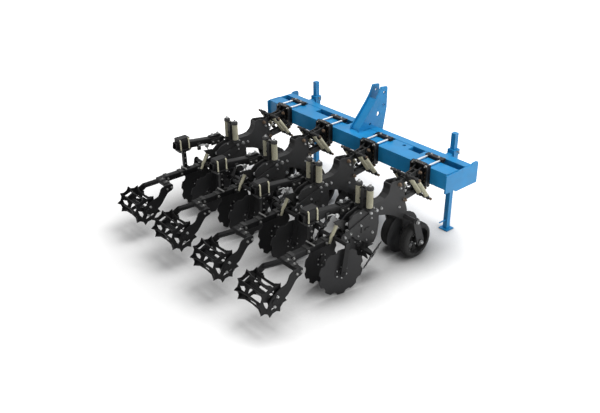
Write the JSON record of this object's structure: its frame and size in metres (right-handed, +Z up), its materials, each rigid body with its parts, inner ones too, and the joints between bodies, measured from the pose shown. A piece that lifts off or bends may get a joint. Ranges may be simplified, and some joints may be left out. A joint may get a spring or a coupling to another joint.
{
  "type": "strip-till cultivator",
  "caption": "Row-crop strip-till cultivator: blue toolbar with three-point headstock and stands, carrying trailing row units with gauge wheels, discs, star wheels, tine and cage roller.",
  "frame": {"origin": "on the ground, at the middle of the bounding box seen from above", "axes": "+X to the right of the direction of travel, +Y forward, +Z up"},
  "size_m": [2.95, 2.9471, 1.432],
  "materials": {
    "blue_paint": "satin blue paint",
    "black_paint": "satin black paint",
    "link_paint": "satin black paint",
    "disc_steel": "dark oiled steel",
    "rubber": "matt black rubber"
  },
  "bodies": {
    "machine": {"toolbar": "blue_paint", "headstock": "blue_paint", "row_1_clamp": "black_paint", "row_1_links": "link_paint", "row_1_frame": "black_paint", "row_1_tine": "disc_steel", "row_1_rear_arm": "black_paint", "row_2_clamp": "black_paint", "row_2_links": "link_paint", "row_2_frame": "black_paint", "row_2_tine": "disc_steel", "row_2_rear_arm": "black_paint", "row_3_clamp": "black_paint", "row_3_links": "link_paint", "row_3_frame": "black_paint", "row_3_tine": "disc_steel", "row_3_rear_arm": "black_paint", "row_4_clamp": "black_paint", "row_4_links": "link_paint", "row_4_frame": "black_paint", "row_4_tine": "disc_steel", "row_4_rear_arm": "black_paint"},
    "stand_left": {"stand_leg_left": "blue_paint"},
    "stand_right": {"stand_leg_right": "blue_paint"},
    "row_1_gauge_wheels": {"row_1_gauge_wheel_left": "rubber", "row_1_gauge_wheel_right": "rubber"},
    "row_1_opener": {"row_1_opener_disc": "disc_steel"},
    "row_1_star_left": {"row_1_star_wheel_left": "disc_steel"},
    "row_1_disc_left": {"row_1_side_disc_left": "disc_steel"},
    "row_1_star_right": {"row_1_star_wheel_right": "disc_steel"},
    "row_1_disc_right": {"row_1_side_disc_right": "disc_steel"},
    "row_1_roller_cage": {"row_1_roller": "black_paint"},
    "row_2_gauge_wheels": {"row_2_gauge_wheel_left": "rubber", "row_2_gauge_wheel_right": "rubber"},
    "row_2_opener": {"row_2_opener_disc": "disc_steel"},
    "row_2_star_left": {"row_2_star_wheel_left": "disc_steel"},
    "row_2_disc_left": {"row_2_side_disc_left": "disc_steel"},
    "row_2_star_right": {"row_2_star_wheel_right": "disc_steel"},
    "row_2_disc_right": {"row_2_side_disc_right": "disc_steel"},
    "row_2_roller_cage": {"row_2_roller": "black_paint"},
    "row_3_gauge_wheels": {"row_3_gauge_wheel_left": "rubber", "row_3_gauge_wheel_right": "rubber"},
    "row_3_opener": {"row_3_opener_disc": "disc_steel"},
    "row_3_star_left": {"row_3_star_wheel_left": "disc_steel"},
    "row_3_disc_left": {"row_3_side_disc_left": "disc_steel"},
    "row_3_star_right": {"row_3_star_wheel_right": "disc_steel"},
    "row_3_disc_right": {"row_3_side_disc_right": "disc_steel"},
    "row_3_roller_cage": {"row_3_roller": "black_paint"},
    "row_4_gauge_wheels": {"row_4_gauge_wheel_left": "rubber", "row_4_gauge_wheel_right": "rubber"},
    "row_4_opener": {"row_4_opener_disc": "disc_steel"},
    "row_4_star_left": {"row_4_star_wheel_left": "disc_steel"},
    "row_4_disc_left": {"row_4_side_disc_left": "disc_steel"},
    "row_4_star_right": {"row_4_star_wheel_right": "disc_steel"},
    "row_4_disc_right": {"row_4_side_disc_right": "disc_steel"},
    "row_4_roller_cage": {"row_4_roller": "black_paint"}
  },
  "joints": [
    {"name": "stand_left_height", "type": "slide", "parent": "machine", "child": "stand_left", "axis": [0, 0, 1], "range_m": [0, 0.36]},
    {"name": "stand_right_height", "type": "slide", "parent": "machine", "child": "stand_right", "axis": [0, 0, 1], "range_m": [0, 0.36]},
    {"name": "row_1_gauge_wheels_turn", "type": "hinge", "parent": "machine", "child": "row_1_gauge_wheels", "pos_m": [-1.125, 0.659, 0.2], "axis": [1, 0, 0], "continuous": true},
    {"name": "row_1_opener_turn", "type": "hinge", "parent": "machine", "child": "row_1_opener", "pos_m": [-1.125, 0.614, 0.245], "axis": [1, 0, 0], "continuous": true},
    {"name": "row_1_star_left_turn", "type": "hinge", "parent": "machine", "child": "row_1_star_left", "pos_m": [-1.23, 0.054, 0.235], "axis": [-0.8409, 0.357, -0.4067], "continuous": true},
    {"name": "row_1_disc_left_turn", "type": "hinge", "parent": "machine", "child": "row_1_disc_left", "pos_m": [-1.275, -0.426, 0.25877], "axis": [-0.9848, -0.1736, 0], "continuous": true},
    {"name": "row_1_star_right_turn", "type": "hinge", "parent": "machine", "child": "row_1_star_right", "pos_m": [-1.02, 0.054, 0.235], "axis": [0.8409, 0.357, -0.4067], "continuous": true},
    {"name": "row_1_disc_right_turn", "type": "hinge", "parent": "machine", "child": "row_1_disc_right", "pos_m": [-0.975, -0.426, 0.25877], "axis": [0.9848, -0.1736, 0], "continuous": true},
    {"name": "row_1_roller_cage_turn", "type": "hinge", "parent": "machine", "child": "row_1_roller_cage", "pos_m": [-1.125, -1.296, 0.342], "axis": [1, 0, 0], "continuous": true},
    {"name": "row_2_gauge_wheels_turn", "type": "hinge", "parent": "machine", "child": "row_2_gauge_wheels", "pos_m": [-0.375, 0.659, 0.2], "axis": [1, 0, 0], "continuous": true},
    {"name": "row_2_opener_turn", "type": "hinge", "parent": "machine", "child": "row_2_opener", "pos_m": [-0.375, 0.614, 0.245], "axis": [1, 0, 0], "continuous": true},
    {"name": "row_2_star_left_turn", "type": "hinge", "parent": "machine", "child": "row_2_star_left", "pos_m": [-0.48, 0.054, 0.235], "axis": [-0.8409, 0.357, -0.4067], "continuous": true},
    {"name": "row_2_disc_left_turn", "type": "hinge", "parent": "machine", "child": "row_2_disc_left", "pos_m": [-0.525, -0.426, 0.25877], "axis": [-0.9848, -0.1736, 0], "continuous": true},
    {"name": "row_2_star_right_turn", "type": "hinge", "parent": "machine", "child": "row_2_star_right", "pos_m": [-0.27, 0.054, 0.235], "axis": [0.8409, 0.357, -0.4067], "continuous": true},
    {"name": "row_2_disc_right_turn", "type": "hinge", "parent": "machine", "child": "row_2_disc_right", "pos_m": [-0.225, -0.426, 0.25877], "axis": [0.9848, -0.1736, 0], "continuous": true},
    {"name": "row_2_roller_cage_turn", "type": "hinge", "parent": "machine", "child": "row_2_roller_cage", "pos_m": [-0.375, -1.296, 0.342], "axis": [1, 0, 0], "continuous": true},
    {"name": "row_3_gauge_wheels_turn", "type": "hinge", "parent": "machine", "child": "row_3_gauge_wheels", "pos_m": [0.375, 0.659, 0.2], "axis": [1, 0, 0], "continuous": true},
    {"name": "row_3_opener_turn", "type": "hinge", "parent": "machine", "child": "row_3_opener", "pos_m": [0.375, 0.614, 0.245], "axis": [1, 0, 0], "continuous": true},
    {"name": "row_3_star_left_turn", "type": "hinge", "parent": "machine", "child": "row_3_star_left", "pos_m": [0.27, 0.054, 0.235], "axis": [-0.8409, 0.357, -0.4067], "continuous": true},
    {"name": "row_3_disc_left_turn", "type": "hinge", "parent": "machine", "child": "row_3_disc_left", "pos_m": [0.225, -0.426, 0.25877], "axis": [-0.9848, -0.1736, 0], "continuous": true},
    {"name": "row_3_star_right_turn", "type": "hinge", "parent": "machine", "child": "row_3_star_right", "pos_m": [0.48, 0.054, 0.235], "axis": [0.8409, 0.357, -0.4067], "continuous": true},
    {"name": "row_3_disc_right_turn", "type": "hinge", "parent": "machine", "child": "row_3_disc_right", "pos_m": [0.525, -0.426, 0.25877], "axis": [0.9848, -0.1736, 0], "continuous": true},
    {"name": "row_3_roller_cage_turn", "type": "hinge", "parent": "machine", "child": "row_3_roller_cage", "pos_m": [0.375, -1.296, 0.342], "axis": [1, 0, 0], "continuous": true},
    {"name": "row_4_gauge_wheels_turn", "type": "hinge", "parent": "machine", "child": "row_4_gauge_wheels", "pos_m": [1.125, 0.659, 0.2], "axis": [1, 0, 0], "continuous": true},
    {"name": "row_4_opener_turn", "type": "hinge", "parent": "machine", "child": "row_4_opener", "pos_m": [1.125, 0.614, 0.245], "axis": [1, 0, 0], "continuous": true},
    {"name": "row_4_star_left_turn", "type": "hinge", "parent": "machine", "child": "row_4_star_left", "pos_m": [1.02, 0.054, 0.235], "axis": [-0.8409, 0.357, -0.4067], "continuous": true},
    {"name": "row_4_disc_left_turn", "type": "hinge", "parent": "machine", "child": "row_4_disc_left", "pos_m": [0.975, -0.426, 0.25877], "axis": [-0.9848, -0.1736, 0], "continuous": true},
    {"name": "row_4_star_right_turn", "type": "hinge", "parent": "machine", "child": "row_4_star_right", "pos_m": [1.23, 0.054, 0.235], "axis": [0.8409, 0.357, -0.4067], "continuous": true},
    {"name": "row_4_disc_right_turn", "type": "hinge", "parent": "machine", "child": "row_4_disc_right", "pos_m": [1.275, -0.426, 0.25877], "axis": [0.9848, -0.1736, 0], "continuous": true},
    {"name": "row_4_roller_cage_turn", "type": "hinge", "parent": "machine", "child": "row_4_roller_cage", "pos_m": [1.125, -1.296, 0.342], "axis": [1, 0, 0], "continuous": true}
  ]
}
